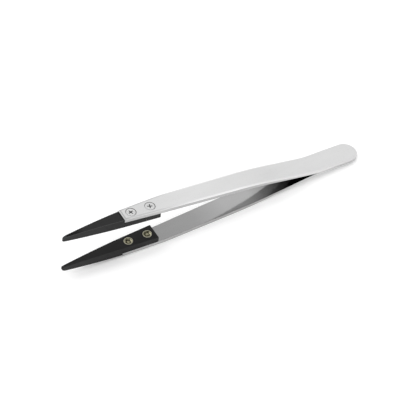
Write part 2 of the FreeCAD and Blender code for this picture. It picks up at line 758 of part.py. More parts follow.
HALVES = {"upper": 0.0, "lower": 180.0}
AT_ORIGIN = FreeCAD.Placement()
pieces = []
for half, turn in HALVES.items():
    turned = FreeCAD.Placement(FreeCAD.Vector(), FreeCAD.Rotation(FreeCAD.Vector(1, 0, 0), turn))
    pieces.append((make_arm(half + "_arm"), turned, AT_ORIGIN))
    pieces.append((make_tip(half + "_tip"), turned, AT_ORIGIN))
    for place in SCREW_SET_BACKS:
        insert = make_insert("%s_insert_%s" % (half, place), place)
        pieces.append((insert, turned, on_screw_axis(place, 0.0)))
        screw = make_screw("%s_screw_%s" % (half, place))
        head_top = on_screw_axis(place, size("arm_thickness") - size("head_sink"))
        driven = FreeCAD.Rotation(UP, size("recess_turn_" + place))
        pieces.append((screw, turned, head_top.multiply(FreeCAD.Placement(FreeCAD.Vector(), driven))))

grip = value(GRIP_TILT)
grip_end = outer_line()[5]
drop = grip_end.y * math.cos(grip) + grip_end.x * math.sin(grip)
laid = FreeCAD.Placement(FreeCAD.Vector(0, 0, drop), FreeCAD.Rotation(ACROSS, size("grip_angle")))
for body, turned, place in pieces:
    body.Placement = laid.multiply(turned).multiply(place)
doc.recompute()

ends = []
for body, _, _ in pieces:
    box = body.Shape.optimalBoundingBox(False, False)
    ends.extend([box.XMin, box.XMax])
to_middle = FreeCAD.Placement(FreeCAD.Vector(-(min(ends) + max(ends)) / 2, 0, 0), FreeCAD.Rotation())
for body, _, _ in pieces:
    body.Placement = to_middle.multiply(body.Placement)
doc.recompute()

for item in doc.Objects:
    if "Invalid" in item.State or "Error" in item.State:
        raise RuntimeError("%s is in state %s" % (item.Label, item.State))
for body, _, _ in pieces:
    if body.Shape.isNull() or not body.Shape.isValid() or len(body.Shape.Solids) != 1:
        raise RuntimeError("%s has no valid single solid" % body.Label)

os.makedirs("parts", exist_ok=True)
for body, _, _ in pieces:
    body.Shape.exportStep("parts/%s.step" % body.Label)
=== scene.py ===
import math

import bmesh
import bpy
from mathutils import Matrix, Vector


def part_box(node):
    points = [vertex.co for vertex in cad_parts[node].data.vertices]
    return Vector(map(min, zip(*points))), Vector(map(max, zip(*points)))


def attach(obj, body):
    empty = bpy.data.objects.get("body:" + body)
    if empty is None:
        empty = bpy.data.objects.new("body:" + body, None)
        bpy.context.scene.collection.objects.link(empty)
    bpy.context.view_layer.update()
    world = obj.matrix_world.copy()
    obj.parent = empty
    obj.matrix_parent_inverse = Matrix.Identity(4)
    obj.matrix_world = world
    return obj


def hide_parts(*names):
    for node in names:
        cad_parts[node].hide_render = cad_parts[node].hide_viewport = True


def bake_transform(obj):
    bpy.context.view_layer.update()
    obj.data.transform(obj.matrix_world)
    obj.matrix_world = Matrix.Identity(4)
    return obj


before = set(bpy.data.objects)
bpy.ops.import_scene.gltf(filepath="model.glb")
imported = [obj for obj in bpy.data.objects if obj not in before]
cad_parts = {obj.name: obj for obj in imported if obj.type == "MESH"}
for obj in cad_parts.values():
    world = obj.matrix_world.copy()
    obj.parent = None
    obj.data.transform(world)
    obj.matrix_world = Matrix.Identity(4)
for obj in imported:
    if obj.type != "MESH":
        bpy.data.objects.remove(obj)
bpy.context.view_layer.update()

# Ceramic-tipped tweezers. Each half is drawn in its own frame, in millimetres: a station is a
# distance from the tail end towards the tips, y runs across the arm, and a height is measured from
# the plane where the two arms are welded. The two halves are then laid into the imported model's
# frame, in metres.

MM = 0.001

# Steel arm, from above
TAIL_WIDTH = 9.8
GRIP_WIDTH = 7.9
NOSE_WIDTH = 5.6
SIDE_RADIUS = 4300.0
ARM_REACH = 105.5
TAPER_START = ARM_REACH - 17.5

# Steel arm, from the side. The rise out of the weld is found by halving, below the steepest one
WELD_LENGTH = 19.0
TAIL_THICKNESS = 0.8
ARM_THICKNESS = 1.6
SPREAD_RADIUS = 30.0
STEEPEST_RISE = math.radians(40)
RISE_HALVINGS = 60
SHOULDER_STATION = 42.0
SHOULDER_RADIUS = 165.0
GRIP_ANGLE = math.radians(5.0)
GRIP_END = TAPER_START - 4.0
SEAT_BEND_RADIUS = 150.0
SEAT_ANGLE = math.radians(2.8)
SEAT_HEIGHT = 8.55

# Rims, as how far the rounding reaches in from the side, and how far it drops from the face
ARM_OUTER_RIM = (0.8, 0.4)
ARM_INNER_RIM = (0.08, 0.08)
TIP_OUTER_RIM = (0.14, 0.14)
TIP_INNER_RIM = (0.12, 0.12)

# Ceramic tip
TIP_END = ARM_REACH + 24.5
TIP_REAR = ARM_REACH - 14.9
TONGUE_THICKNESS = 2.32
TIP_SIDE_STEP = 0.2
SHOULDER = ARM_REACH + 0.1
SHOULDER_HEIGHT = SEAT_HEIGHT + ARM_THICKNESS / math.cos(SEAT_ANGLE) - 0.5
CROWN_STATION = ARM_REACH + 6.0
CROWN_RADIUS = 300.0
NOSE_RADIUS = 1.5
PAD_END = ARM_REACH - 1.5
PAD_ANGLE = math.radians(1.2)
JAW_HALF_GAP = SEAT_HEIGHT - 1.4
JAW_EASE_RUN = 1.2
JAW_EASE = 0.22
POINT_RADIUS = 0.5
FLANK_RADIUS = 2000.0

# Screws
SCREW_STATIONS = {"front": ARM_REACH - 3.8, "rear": ARM_REACH - 3.8 - 8.1}
THREAD_RADIUS = 1.0
THREAD_PITCH = 0.4
THREAD_DEPTH = 0.2
THREAD_CLEARANCE = 0.02
SCREW_LENGTH = 3.6
SCREW_END_CHAMFER = 0.25
HEAD_RADIUS = 1.9
HEAD_SINK = 0.05
HEAD_LAND = 0.1
HEAD_EDGE = 0.04

# Cross recess in a screw's head. The bottom's span and slot are shares of those at the head's top,
# and the flares are how much they grow for each millimetre above it
RECESS_TURNS = {"front": math.radians(20), "rear": math.radians(-17)}
RECESS_HALF_SPAN = 1.08
RECESS_HALF_SLOT = 0.2
RECESS_DEPTH = 0.65
RECESS_BOTTOM_SPAN = 0.6
RECESS_BOTTOM_SLOT = 0.7
RECESS_SPAN_FLARE = 0.5
RECESS_SLOT_FLARE = 0.1

# Countersunk holes in the arm, a little off the screws' axes
HEAD_CLEARANCE = 0.05
SHANK_CLEARANCE = 0.1
HOLE_SHIFT = (0.03, -0.03, 0.0)

# Brass inserts
INSERT_RADIUS = 1.9
INSERT_CLEARANCE = 0.02
INSERT_EDGE = 0.15
INSERT_SET_BACK = 0.1
INSERT_RIM = 0.25
INSERT_SINK_EDGE = 0.1
INSERT_SINK_DEPTH = 0.4

# Below this two places count as one
TOUCH = 0.02

# Steps of the meshes, and the bands from a screw's middle out to its head's land
RIM_STEPS = 4
LATHE_STEPS = 48
SCREW_STEPS = 40
THREAD_ROWS_PER_TURN = 8
HEAD_BANDS = 3

# Shading: corners flatter than this are smooth, and wide faces keep their own normals
SMOOTH_ANGLE = math.radians(35)
WIDE_FACE_WEIGHT = 100

# Material slots of a slab's faces
OUTER, INNER, SIDE, EDGE = 0, 1, 2, 3


# Heights along one half


def bent_height(station, height, bends):
    """Height on a line that starts level and runs straight between its bends.

    A bend is the station where it starts, its radius, and the angle that the line has after it.
    """
    at, angle = 0.0, 0.0
    for start, radius, after in bends:
        if station <= start:
            break
        height += (start - at) * math.tan(angle)
        sign = 1 if after > angle else -1
        end = start + radius * abs(math.sin(after) - math.sin(angle))
        if station <= end:
            turned = math.asin(math.sin(angle) + sign * (station - start) / radius)
            return height + sign * radius * (math.cos(angle) - math.cos(turned))
        height += sign * radius * (math.cos(angle) - math.cos(after))
        at, angle = end, after
    return height + (station - at) * math.tan(angle)


def arm_bends(outer, rise):
    inside = 0.0 if outer else ARM_THICKNESS
    return [
        (WELD_LENGTH, SPREAD_RADIUS + (0.0 if outer else TAIL_THICKNESS), rise),
        (SHOULDER_STATION, SHOULDER_RADIUS - inside, GRIP_ANGLE),
        (GRIP_END + inside * math.sin(GRIP_ANGLE), SEAT_BEND_RADIUS - inside, SEAT_ANGLE),
    ]


def arm_face(outer):
    """A function from station to height for one face of the arm, reaching the nose's height."""
    base = TAIL_THICKNESS if outer else 0.0
    target = SEAT_HEIGHT + (ARM_THICKNESS / math.cos(SEAT_ANGLE) if outer else 0.0)
    low, high = GRIP_ANGLE, STEEPEST_RISE
    for _ in range(RISE_HALVINGS):
        rise = (low + high) / 2
        if bent_height(ARM_REACH, base, arm_bends(outer, rise)) > target:
            high = rise
        else:
            low = rise
    bends = arm_bends(outer, low)
    return lambda station: bent_height(max(station, 0.0), base, bends)


def seat_height(station):
    return SEAT_HEIGHT - (ARM_REACH - station) * math.tan(SEAT_ANGLE)


def pad_height(station):
    return seat_height(TIP_REAR) - TONGUE_THICKNESS + (station - TIP_REAR) * math.tan(PAD_ANGLE)


def tip_top(station):
    """Top of a tip: the tongue under the arm, then the crown, then the rounded nose."""
    if station < SHOULDER - TOUCH:
        return seat_height(station)
    centre = SHOULDER_HEIGHT - math.sqrt(CROWN_RADIUS**2 - (CROWN_STATION - SHOULDER) ** 2)
    nose_station = TIP_END - NOSE_RADIUS
    reach = CROWN_RADIUS - NOSE_RADIUS
    nose_height = centre + math.sqrt(reach**2 - (nose_station - CROWN_STATION) ** 2)
    nose_start = CROWN_STATION + (nose_station - CROWN_STATION) * CROWN_RADIUS / reach
    if station <= nose_start:
        return centre + math.sqrt(CROWN_RADIUS**2 - (station - CROWN_STATION) ** 2)
    run = min(station - nose_station, NOSE_RADIUS)
    return nose_height + math.sqrt(NOSE_RADIUS**2 - run**2)


def tip_bottom(station):
    """Bottom of a tip: the flat pad under the screws, then the hollow to the eased jaw's end."""
    if station <= PAD_END:
        return pad_height(station)
    run = station - PAD_END
    full = TIP_END - PAD_END
    belly = full**2 / 2 / (JAW_HALF_GAP - pad_height(PAD_END) - full * math.tan(PAD_ANGLE))
    eased = min(max(0.0, (station - TIP_END) / JAW_EASE_RUN + 1), 1.0)
    ease = JAW_EASE * (1 - math.sqrt(1 - eased**2))
    return pad_height(PAD_END) + run * math.tan(PAD_ANGLE) + run**2 / 2 / belly + ease


# Outlines from above, as (station, half-width) pairs from the tail side to the tip side


def bowed(start, end, radius, count):
    """Points from start to end on an arc of that radius that bows outwards."""
    (s0, w0), (s1, w1) = start, end
    bow = math.hypot(s1 - s0, w1 - w0) ** 2 / 8 / radius
    points = []
    for k in range(count + 1):
        t = k / count
        points.append((s0 + (s1 - s0) * t, w0 + (w1 - w0) * t + 4 * bow * t * (1 - t)))
    return points


def round_end(centre, radius, first, last, count):
    """Points on a circle about the middle line, between two angles from the tail's direction."""
    points = []
    for k in range(count + 1):
        angle = first + (last - first) * k / count
        points.append((centre - radius * math.cos(angle), radius * math.sin(angle)))
    return points


def arm_outline():
    radius = TAIL_WIDTH / 2
    tail = round_end(radius, radius, 0.0, math.pi / 2, count=28)
    side = bowed((radius, radius), (TAPER_START, GRIP_WIDTH / 2), SIDE_RADIUS, count=62)
    taper = bowed((TAPER_START, GRIP_WIDTH / 2), (ARM_REACH, NOSE_WIDTH / 2), math.inf, count=14)
    return tail + side[1:] + taper[1:]


def tip_outline():
    slope = (GRIP_WIDTH - NOSE_WIDTH) / 2 / (ARM_REACH - TAPER_START)
    rear_half = GRIP_WIDTH / 2 - (TIP_REAR - TAPER_START) * slope - TIP_SIDE_STEP
    front_half = NOSE_WIDTH / 2 - TIP_SIDE_STEP
    point = TIP_END - POINT_RADIUS
    tongue = bowed((TIP_REAR, rear_half), (SHOULDER - 2 * TOUCH, front_half), math.inf, count=10)
    flank = bowed((SHOULDER, front_half), (point, POINT_RADIUS), FLANK_RADIUS, count=30)
    end = round_end(point, POINT_RADIUS, math.pi / 2, math.pi, count=12)
    return tongue + flank + end[1:]


# Meshes


def band(mesh, first, second):
    """Faces between two rings of vertices. A ring of one vertex closes an end."""
    faces = []
    count = max(len(first), len(second))
    for k in range(count):
        n = (k + 1) % count
        corners = [first[k % len(first)], first[n % len(first)]]
        corners += [second[n % len(second)], second[k % len(second)]]
        faces.append(mesh.faces.new(dict.fromkeys(corners)))
    return faces


def fill_across(mesh, layer, half, part):
    """Strips across a face, between vertices as many steps from the loop's start each way."""
    for k in range(half - 1):
        corners = (layer[k], layer[k + 1], layer[-k - 1], layer[-k])
        mesh.faces.new(dict.fromkeys(corners)).material_index = part


def mitres_of(loop):
    """Outward mitres of a closed loop, each as long as one unit of inset needs."""
    mitres = []
    for before, here, after in zip(loop[-1:] + loop[:-1], loop, loop[1:] + loop[:1]):
        first = Vector((before[1] - here[1], here[0] - before[0])).normalized()
        second = Vector((here[1] - after[1], after[0] - here[0])).normalized()
        mitres.append((first + second) / (1 + first.dot(second)))
    return mitres


def rounded(rim):
    """(inset, drop) pairs across a rim, from the side to the face."""
    inset, drop = rim
    turns = [math.pi / 2 * k / RIM_STEPS for k in range(RIM_STEPS + 1)]
    return [(inset * (1 - math.cos(turn)), drop * (1 - math.sin(turn))) for turn in turns]


def slab(outline, top, bottom, top_rim, bottom_rim):
    """Closed mesh between two faces whose heights follow the station, with rounded rims.

    The outline is one side of it, and the other side mirrors that.
    """
    right = [(station, 0.0 if width < TOUCH else width) for station, width in outline]
    loop = right + [(station, -width) for station, width in reversed(right) if width > 0]
    mitres = mitres_of(loop)
    rings = [(inset, drop, bottom) for inset, drop in reversed(rounded(bottom_rim))]
    rings += [(inset, -drop, top) for inset, drop in rounded(top_rim)]
    mesh = bmesh.new()
    layers = []
    for inset, lift, height in rings:
        layer = []
        for (s, y), mitre in zip(loop, mitres):
            station = s - mitre.x * inset
            layer.append(mesh.verts.new((-station, y - mitre.y * inset, height(station) + lift)))
        layers.append(layer)
    for number, (lower, upper) in enumerate(zip(layers, layers[1:])):
        for face in band(mesh, lower, upper):
            face.material_index = SIDE if number <= RIM_STEPS + 1 else EDGE
    fill_across(mesh, layers[0], len(right), INNER)
    fill_across(mesh, layers[-1], len(right), OUTER)
    bmesh.ops.recalc_face_normals(mesh, faces=mesh.faces)
    return mesh


def lathe(section):
    """Closed solid of revolution about Z from (radius, height) corners. Radius 0 closes an end."""
    mesh = bmesh.new()
    turns = [2 * math.pi * k / LATHE_STEPS for k in range(LATHE_STEPS)]
    rings = []
    for radius, height in section:
        spots = turns if radius > 0 else turns[:1]
        ring = [(radius * math.cos(t), radius * math.sin(t), height) for t in spots]
        rings.append([mesh.verts.new(spot) for spot in ring])
    for first, second in zip(rings, rings[1:]):
        band(mesh, first, second)
    if len(rings[0]) > 1:
        band(mesh, rings[-1], rings[0])
    bmesh.ops.recalc_face_normals(mesh, faces=mesh.faces)
    return mesh


def add_grain_map(mesh):
    """A map along the arm and across it, in millimetres, for grain that follows the metal."""
    layer = mesh.loops.layers.uv.new("grain")
    for face in mesh.faces:
        for corner in face.loops:
            place = corner.vert.co
            corner[layer].uv = (place.x, place.y + place.z)


def finish_mesh(name, mesh, placement, *materials):
    """Object from a mesh drawn in millimetres in the frame of one half."""
    add_grain_map(mesh)
    data = bpy.data.meshes.new(name)
    mesh.to_mesh(data)
    mesh.free()
    data.transform(placement)
    for material in materials:
        data.materials.append(material)
    data.shade_smooth()
    data.set_sharp_from_angle(angle=SMOOTH_ANGLE)
    piece = bpy.data.objects.new(name, data)
    bpy.context.scene.collection.objects.link(piece)
    return piece


def apply_modifiers(piece):
    bpy.context.view_layer.update()
    shown = piece.evaluated_get(bpy.context.evaluated_depsgraph_get())
    data = bpy.data.meshes.new_from_object(shown)
    piece.modifiers.clear()
    piece.data = data


def cut(piece, cutter_mesh, placement, material):
    """Take the cutter away from the piece, and give the walls of the cut their own material."""
    data = bpy.data.meshes.new("cutter")
    cutter_mesh.to_mesh(data)
    cutter_mesh.free()
    data.transform(placement)
    data.materials.append(material)
    cutter = bpy.data.objects.new("cutter", data)
    bpy.context.scene.collection.objects.link(cutter)
    difference = piece.modifiers.new("cut", "BOOLEAN")
    difference.operation = "DIFFERENCE"
    difference.solver = "EXACT"
    difference.material_mode = "TRANSFER"
    difference.object = cutter
    apply_modifiers(piece)
    bpy.data.objects.remove(cutter)


def even_normals(piece):
    """Large flat faces keep their own normals, and the narrow rims take up the turn."""
    weighted = piece.modifiers.new("normals", "WEIGHTED_NORMAL")
    weighted.keep_sharp = True
    weighted.weight = WIDE_FACE_WEIGHT
    apply_modifiers(piece)


# Placement of the halves


def half_placement(half):
    tail = Vector((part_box("lower_arm")[1].x, 0.0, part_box("upper_arm")[0].z))
    laid = Matrix.Translation(tail) @ Matrix.Rotation(GRIP_ANGLE, 4, "Y") @ Matrix.Scale(MM, 4)
    return laid @ Matrix.Rotation(math.pi if half == "lower" else 0.0, 4, "X")


def on_seat(station, height):
    """Placement on a screw's axis, a height outside the seat."""
    foot = Matrix.Translation((-station, 0.0, seat_height(station)))
    return foot @ Matrix.Rotation(SEAT_ANGLE, 4, "Y") @ Matrix.Translation((0, 0, height))


# Materials

WHITE = (1.0, 1.0, 1.0, 1.0)

# Depth of the surfaces' fine bumps, in metres
BUMP_DEPTH = 0.00002


def grey(level):
    return (level,) * 3


def new_material(name, colour, metallic, roughness):
    """New material, with its node tree and its shader."""
    material = bpy.data.materials.new(name)
    material.use_nodes = True
    tree = material.node_tree
    shader = tree.nodes["Principled BSDF"]
    shader.inputs["Base Color"].default_value = (*colour, 1.0)
    shader.inputs["Metallic"].default_value = metallic
    shader.inputs["Roughness"].default_value = roughness
    return material, tree, shader


def node(tree, kind, **settings):
    """New node. A setting is one of its own properties, or else the value of that socket."""
    made = tree.nodes.new(kind)
    for key, value in settings.items():
        if hasattr(made, key):
            setattr(made, key, value)
        else:
            made.inputs[key.replace("_", " ")].default_value = value
    return made


def link(tree, source, output, target, socket):
    tree.links.new(source.outputs[output], target.inputs[socket])


def combined(tree, operation, first, second):
    """Output of a math node that works on two sockets or numbers."""
    made = node(tree, "ShaderNodeMath", operation=operation)
    for socket, given in zip(made.inputs, (first, second)):
        if isinstance(given, bpy.types.NodeSocket):
            tree.links.new(given, socket)
        else:
            socket.default_value = given
    return made.outputs[0]


def colour_ramp(tree, stops):
    """Ramp through (position, colour) stops, given in rising order."""
    ramp = node(tree, "ShaderNodeValToRGB")
    elements = ramp.color_ramp.elements
    while len(elements) < len(stops):
        elements.new(1.0)
    for element, (position, colour) in zip(elements, stops):
        element.position = position
        element.color = (*colour, 1.0)
    return ramp


def clouds(tree, scale):
    """Noise that is fixed to the piece, with that many cells to a metre."""
    place = node(tree, "ShaderNodeTexCoord")
    noise = node(tree, "ShaderNodeTexNoise", Scale=scale, Detail=3.0, Roughness=0.6)
    link(tree, place, "Object", noise, "Vector")
    return noise


def grain(tree, along, across):
    """Noise on the arm's own map, with that many cells to a millimetre each way."""
    uv = node(tree, "ShaderNodeUVMap", uv_map="grain")
    scale = node(tree, "ShaderNodeMapping", Scale=(along, across, 1.0))
    link(tree, uv, "UV", scale, "Vector")
    noise = node(tree, "ShaderNodeTexNoise", Scale=1.0, Detail=3.0, Roughness=0.6)
    link(tree, scale, "Vector", noise, "Vector")
    return noise


def tone_along(tree, tones):
    """Grey that follows the half from the tail to the point, from (station, grey) pairs."""
    uv = node(tree, "ShaderNodeUVMap", uv_map="grain")
    parts = node(tree, "ShaderNodeSeparateXYZ")
    link(tree, uv, "UV", parts, "Vector")
    place = node(tree, "ShaderNodeMapRange", From_Min=0.0, From_Max=-TIP_END)
    link(tree, parts, "X", place, "Value")
    ramp = colour_ramp(tree, [(station / TIP_END, grey(tone)) for station, tone in tones])
    link(tree, place, "Result", ramp, "Fac")
    return ramp


def vary_gloss(tree, shader, noise, smoothest, roughest):
    gloss = node(tree, "ShaderNodeMapRange", To_Min=smoothest, To_Max=roughest)
    link(tree, noise, "Fac", gloss, "Value")
    link(tree, gloss, "Result", shader, "Roughness")


def add_bump(tree, shader, noise, strength):
    bump = node(tree, "ShaderNodeBump", Strength=strength, Distance=BUMP_DEPTH)
    link(tree, noise, "Fac", bump, "Height")
    link(tree, bump, "Normal", shader, "Normal")


def steel_material(name, tones, smoothest, roughest):
    """Brushed steel: fine grain along the arm, and a tone along it from end to end that paints
    light and shade.
    """
    middle = tones[len(tones) // 2][1]
    material, tree, shader = new_material(name, grey(middle), 1.0, (smoothest + roughest) / 2)
    cloud = node(tree, "ShaderNodeMapRange", To_Min=0.96, To_Max=1.04)
    link(tree, grain(tree, along=0.06, across=0.25), "Fac", cloud, "Value")
    colour = node(tree, "ShaderNodeVectorMath", operation="SCALE")
    link(tree, tone_along(tree, tones), "Color", colour, 0)
    link(tree, cloud, "Result", colour, "Scale")
    link(tree, colour, "Vector", shader, "Base Color")
    fine = grain(tree, along=0.5, across=22.0)
    vary_gloss(tree, shader, fine, smoothest, roughest)
    add_bump(tree, shader, fine, strength=0.12)
    return material


def ceramic_material(name, darkest, lightest, shine):
    """Black ceramic, ground to a dull satin, its shine set along the tip by (station, level) pairs
    as painted sheen and shade.
    """
    material, tree, shader = new_material(name, grey(lightest), metallic=0.0, roughness=0.42)
    if len(shine) == 1:
        shader.inputs["Specular IOR Level"].default_value = shine[0][1]
    else:
        link(tree, tone_along(tree, shine), "Color", shader, "Specular IOR Level")
    cloud = clouds(tree, scale=900.0)
    ramp = colour_ramp(tree, [(0.3, grey(darkest)), (0.75, grey(lightest))])
    link(tree, cloud, "Fac", ramp, "Fac")
    link(tree, ramp, "Color", shader, "Base Color")
    vary_gloss(tree, shader, cloud, smoothest=0.36, roughest=0.5)
    add_bump(tree, shader, clouds(tree, scale=5200.0), strength=0.25)
    return material


def cloudy_metal(name, colours, scale, smoothest, roughest):
    """Metal whose colour and gloss drift in small clouds, with that many to a metre."""
    darkest, lightest = colours
    middle = tuple((dark + light) / 2 for dark, light in zip(darkest, lightest))
    material, tree, shader = new_material(name, middle, 1.0, (smoothest + roughest) / 2)
    cloud = clouds(tree, scale)
    ramp = colour_ramp(tree, [(0.35, darkest), (0.65, lightest)])
    link(tree, cloud, "Fac", ramp, "Fac")
    link(tree, ramp, "Color", shader, "Base Color")
    vary_gloss(tree, shader, cloud, smoothest, roughest)
    return material


# Pieces


def countersink_cutter():
    over = 1.0
    rim = HEAD_SINK + HEAD_LAND
    wide = HEAD_RADIUS + HEAD_CLEARANCE
    shank = THREAD_RADIUS + SHANK_CLEARANCE
    return lathe(
        [
            (0.0, -over),
            (shank, -over),
            (shank, ARM_THICKNESS - rim - (wide - shank)),
            (wide, ARM_THICKNESS - rim),
            (wide + rim, ARM_THICKNESS),
            (wide + rim + over, ARM_THICKNESS + over),
            (0.0, ARM_THICKNESS + over),
        ]
    )


def insert_hole_cutter():
    over = 5.0
    radius = INSERT_RADIUS + INSERT_CLEARANCE
    return lathe([(0.0, -over), (radius, -over), (radius, over), (0.0, over)])


def make_arm(half, materials, hole_shade_material):
    outer, inner = arm_face(outer=True), arm_face(outer=False)
    mesh = slab(arm_outline(), outer, inner, ARM_OUTER_RIM, ARM_INNER_RIM)
    placement = half_placement(half)
    arm = finish_mesh(half + "_steel_arm", mesh, placement, *materials)
    for station in SCREW_STATIONS.values():
        hole = on_seat(station, 0.0) @ Matrix.Translation(HOLE_SHIFT)
        cut(arm, countersink_cutter(), placement @ hole, hole_shade_material)
    even_normals(arm)
    return arm


def make_tip(half, materials):
    mesh = slab(tip_outline(), tip_top, tip_bottom, TIP_OUTER_RIM, TIP_INNER_RIM)
    placement = half_placement(half)
    tip = finish_mesh(half + "_ceramic_tip", mesh, placement, *materials)
    for station in SCREW_STATIONS.values():
        cut(tip, insert_hole_cutter(), placement @ on_seat(station, 0.0), materials[INNER])
    even_normals(tip)
    return tip


def thread_radius(depth, turn, end):
    """Radius of the screw's thread at a depth below the head's top and an angle about the axis."""
    phase = (depth / THREAD_PITCH - turn / (2 * math.pi)) % 1.0
    ridge = 1 - abs(2 * phase - 1)
    fade = min(1.0, max(0.0, (end - depth) / THREAD_PITCH))
    return THREAD_RADIUS - THREAD_DEPTH * (1 - ridge * fade)


def screw_mesh():
    """Screw with its head's top at the origin, and a real helical thread in its own material."""
    cone_end = HEAD_LAND + HEAD_RADIUS - THREAD_RADIUS
    thread_end = SCREW_LENGTH - SCREW_END_CHAMFER
    tip_radius = THREAD_RADIUS - THREAD_DEPTH - SCREW_END_CHAMFER / 2
    turns = [2 * math.pi * k / SCREW_STEPS for k in range(SCREW_STEPS)]
    rows = [
        (0.0, [0.0]),
        (0.0, [HEAD_RADIUS - HEAD_EDGE] * SCREW_STEPS),
        (HEAD_EDGE, [HEAD_RADIUS] * SCREW_STEPS),
        (HEAD_LAND, [HEAD_RADIUS] * SCREW_STEPS),
        (cone_end, [THREAD_RADIUS] * SCREW_STEPS),
    ]
    count = int((thread_end - cone_end) / THREAD_PITCH * THREAD_ROWS_PER_TURN)
    for k in range(1, count + 1):
        depth = cone_end + (thread_end - cone_end) * k / count
        rows.append((depth, [thread_radius(depth, turn, thread_end) for turn in turns]))
    rows.append((SCREW_LENGTH, [tip_radius] * SCREW_STEPS))
    rows.append((SCREW_LENGTH, [0.0]))
    mesh = bmesh.new()
    rings = []
    for depth, radii in rows:
        ring = [(r * math.cos(t), r * math.sin(t), -depth) for r, t in zip(radii, turns)]
        rings.append([mesh.verts.new(spot) for spot in ring])
    for number, (first, second) in enumerate(zip(rings, rings[1:])):
        for face in band(mesh, first, second):
            face.material_index = 0 if number < HEAD_BANDS else 1
    bmesh.ops.recalc_face_normals(mesh, faces=mesh.faces)
    return mesh


def recess_wedges():
    """The two crossed wedges of a recess, wide above the head's top and narrow at the bottom."""
    over = 0.3
    span, slot = RECESS_HALF_SPAN, RECESS_HALF_SLOT
    top = (over, span + over * RECESS_SPAN_FLARE, slot + over * RECESS_SLOT_FLARE)
    bottom = (-RECESS_DEPTH, span * RECESS_BOTTOM_SPAN, slot * RECESS_BOTTOM_SLOT)
    for turn in (0.0, math.pi / 2):
        mesh = bmesh.new()
        lean = Matrix.Rotation(turn, 3, "Z")
        corners = []
        for height, span, slot in (top, bottom):
            for x, y in ((-1, -1), (1, -1), (1, 1), (-1, 1)):
                corners.append(mesh.verts.new(lean @ Vector((x * span, y * slot, height))))
        mesh.faces.new(corners[:4])
        mesh.faces.new(corners[4:])
        band(mesh, corners[:4], corners[4:])
        bmesh.ops.recalc_face_normals(mesh, faces=mesh.faces)
        yield mesh


def make_screw(half, place, material, painted_thread_material, recess_shade_material):
    placement = half_placement(half) @ on_seat(SCREW_STATIONS[place], ARM_THICKNESS - HEAD_SINK)
    placement = placement @ Matrix.Rotation(RECESS_TURNS[place], 4, "Z")
    name = "%s_%s_screw" % (half, place)
    screw = finish_mesh(name, screw_mesh(), placement, material, painted_thread_material)
    for wedge in recess_wedges():
        cut(screw, wedge, placement, recess_shade_material)
    even_normals(screw)
    return screw


def make_insert(half, place, material, sink_shade_material):
    """Brass insert: a bright rim round a sink painted darker as shade, that leads down to the
    screw's thread.
    """
    station = SCREW_STATIONS[place]
    depth = seat_height(station) - pad_height(station) - INSERT_SET_BACK
    bore = THREAD_RADIUS + THREAD_CLEARANCE
    rim_inside = INSERT_RADIUS - INSERT_EDGE - INSERT_RIM
    mesh = lathe(
        [
            (bore, 0.0),
            (INSERT_RADIUS, 0.0),
            (INSERT_RADIUS, -depth + INSERT_EDGE),
            (INSERT_RADIUS - INSERT_EDGE, -depth),
            (rim_inside, -depth),
            (rim_inside - INSERT_SINK_EDGE, -depth + INSERT_SINK_DEPTH / 2),
            (bore, -depth + INSERT_SINK_DEPTH),
        ]
    )
    for face in mesh.faces:
        if max(vert.co.xy.length for vert in face.verts) < rim_inside + TOUCH:
            face.material_index = 1
    name = "%s_%s_insert" % (half, place)
    placement = half_placement(half) @ on_seat(station, 0.0)
    insert = finish_mesh(name, mesh, placement, material, sink_shade_material)
    even_normals(insert)
    return insert


# Camera, light and floor

CAMERA_AZIMUTH = math.radians(-29.9)
CAMERA_ELEVATION = math.radians(48.86)
CAMERA_ROLL = math.radians(0.37)
CAMERA_DISTANCE = 0.700
LENS = 156.3
AIM = Vector((0.000315, 0.0, 0.007299))
PHOTO_SIZE = 420
AIM_PIXEL = (213.73, 200.14)
PIXELS_PER_METRE = 2605.0

# Soft lamps, as (name, place, size, power): the first catches the rounded near edges, and the
# second stands behind and draws the short shadow in front of the lower arm
LAMPS = (
    ("edge_lamp", Vector((0.33, -0.75, 0.58)), 0.45, 0.5),
    ("back_lamp", Vector((-0.45, 0.7, 0.55)), 0.8, 2.0),
)

# Light that reaches dull surfaces from straight above, the power of the height by which it fades
# towards the horizon, and the floor's own share of the white background
OVERHEAD_LIGHT = 2.05
HORIZON_FADE = 2.0
FLOOR_GLOW = 0.2
FLOOR_GREY = 0.88
FLOOR_SIZE = 6.0


def add_camera():
    away = Vector(
        (
            math.sin(CAMERA_AZIMUTH) * math.cos(CAMERA_ELEVATION),
            -math.cos(CAMERA_AZIMUTH) * math.cos(CAMERA_ELEVATION),
            math.sin(CAMERA_ELEVATION),
        )
    )
    right = Vector((math.cos(CAMERA_AZIMUTH), math.sin(CAMERA_AZIMUTH), 0.0))
    right.rotate(Matrix.Rotation(CAMERA_ROLL, 3, away))
    up = away.cross(right)
    off_x = (AIM_PIXEL[0] - PHOTO_SIZE / 2) / PIXELS_PER_METRE
    off_y = (PHOTO_SIZE / 2 - AIM_PIXEL[1]) / PIXELS_PER_METRE
    data = bpy.data.cameras.new("camera")
    data.lens = LENS
    data.sensor_width = 36.0
    data.clip_start = 0.01
    data.clip_end = 20.0
    camera = bpy.data.objects.new("camera", data)
    place = Matrix((right, up, away)).transposed().to_4x4()
    place.translation = AIM - right * off_x - up * off_y + away * CAMERA_DISTANCE
    camera.matrix_world = place
    bpy.context.scene.collection.objects.link(camera)
    bpy.context.scene.camera = camera


def add_lamps():
    for name, place, size, power in LAMPS:
        data = bpy.data.lights.new(name, "AREA")
        data.shape = "DISK"
        data.size = size
        data.energy = power
        light = bpy.data.objects.new(name, data)
        light.location = place
        light.rotation_euler = (-place).to_track_quat("-Z", "Y").to_euler()
        bpy.context.scene.collection.objects.link(light)


